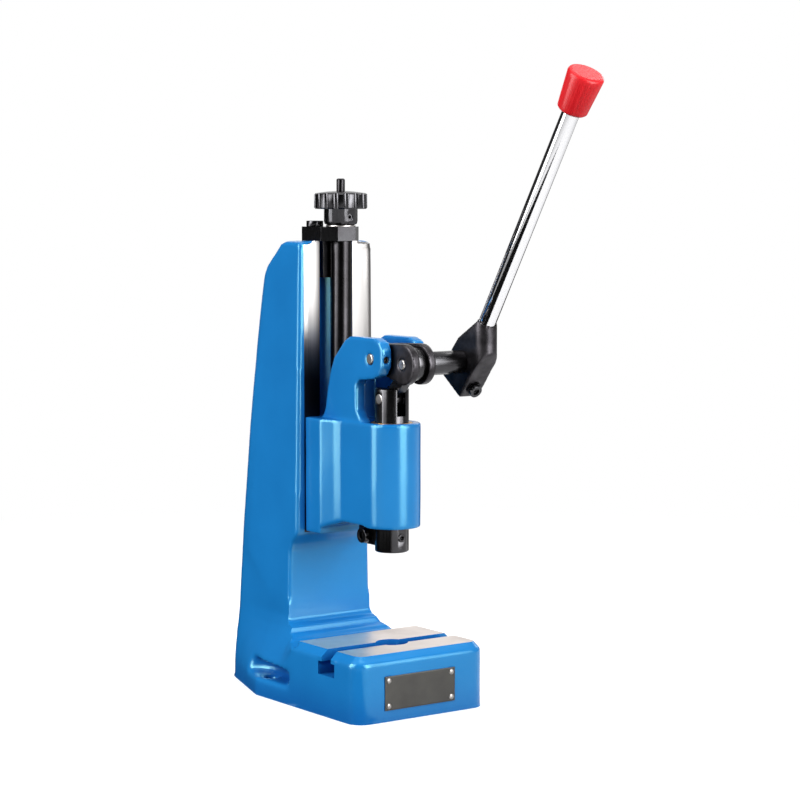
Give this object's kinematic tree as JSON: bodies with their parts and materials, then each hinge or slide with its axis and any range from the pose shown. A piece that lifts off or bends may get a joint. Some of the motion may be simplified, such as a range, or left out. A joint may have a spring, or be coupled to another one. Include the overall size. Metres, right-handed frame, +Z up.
{
  "type": "lever hole punch",
  "caption": "Bench lever press for punching, with a blue cast C-frame, a height-adjustable head, a black ram and a lever at its right side with a red knob.",
  "frame": {"origin": "where the ram's axis meets the bench face under the base", "axes": "+Z up along the ram's axis, -Y to the front face, +X to the right seen from the front"},
  "size_m": [0.1244, 0.3341, 0.4688],
  "materials": {
    "blue_enamel": "gloss blue machine enamel over cast iron",
    "blackened_steel": "blackened and oiled machined steel",
    "bright_steel": "ground bright steel",
    "bearing_bronze": "turned bronze",
    "chrome": "polished chrome plate",
    "red_plastic": "moulded red plastic",
    "plate_black": "black anodised sheet, bare of text",
    "rivet_aluminium": "plain rivet heads"
  },
  "bodies": {
    "frame": {"frame_casting": "blue_enamel", "name_plate": "plate_black", "plate_rivets": "rivet_aluminium", "bearing_plate": "blackened_steel", "plate_cap_screws": "blackened_steel", "thrust_washer": "bright_steel"},
    "spindle": {"height_spindle": "blackened_steel", "height_knob": "blackened_steel", "knob_grub_screw": "blackened_steel"},
    "head": {"head_casting": "blue_enamel", "upper_ram_bush": "bearing_bronze", "lower_ram_bush": "bearing_bronze", "pivot_pin": "bright_steel", "pivot_grub_screws": "blackened_steel", "gib_strip": "bright_steel"},
    "lever": {"crank": "blackened_steel", "knee_pin": "bright_steel", "lever_stub": "blackened_steel", "lever_clamp": "blackened_steel", "clamp_screw": "blackened_steel", "lever_rod": "chrome", "lever_knob": "red_plastic"},
    "ram": {"ram": "blackened_steel", "ram_pin": "bright_steel", "tool_clamp_screw": "blackened_steel", "guide_arm": "blackened_steel", "guide_pin": "blackened_steel", "arm_cap_screw": "blackened_steel"},
    "link": {"toggle_link": "blackened_steel"}
  },
  "joints": [
    {"name": "spindle_turn", "type": "hinge", "parent": "frame", "child": "spindle", "pos_m": [0, 0.0655, 0.36], "axis": [0, 0, 1], "range_deg": [-7200, 0]},
    {"name": "head_slide", "type": "slide", "parent": "frame", "child": "head", "axis": [0, 0, 1], "range_m": [0, 0.06]},
    {"name": "lever_pull", "type": "hinge", "parent": "head", "child": "lever", "pos_m": [0, 0, 0.26], "axis": [1, 0, 0], "range_deg": [0, 50]},
    {"name": "ram_stroke", "type": "slide", "parent": "head", "child": "ram", "axis": [0, 0, -1], "range_m": [0, 0.0266]},
    {"name": "link_swing", "type": "hinge", "parent": "ram", "child": "link", "pos_m": [0, 0, 0.2305], "axis": [-1, 0, 0], "range_deg": [0, 21.6]}
  ],
  "couplings": [
    {"joint": "spindle_turn", "follows": "head_slide", "rad_per_m": -2094.4},
    {"joint": "ram_stroke", "follows": "lever_pull", "m_per_rad": 0.030481},
    {"joint": "link_swing", "follows": "lever_pull", "ratio": 0.432}
  ]
}
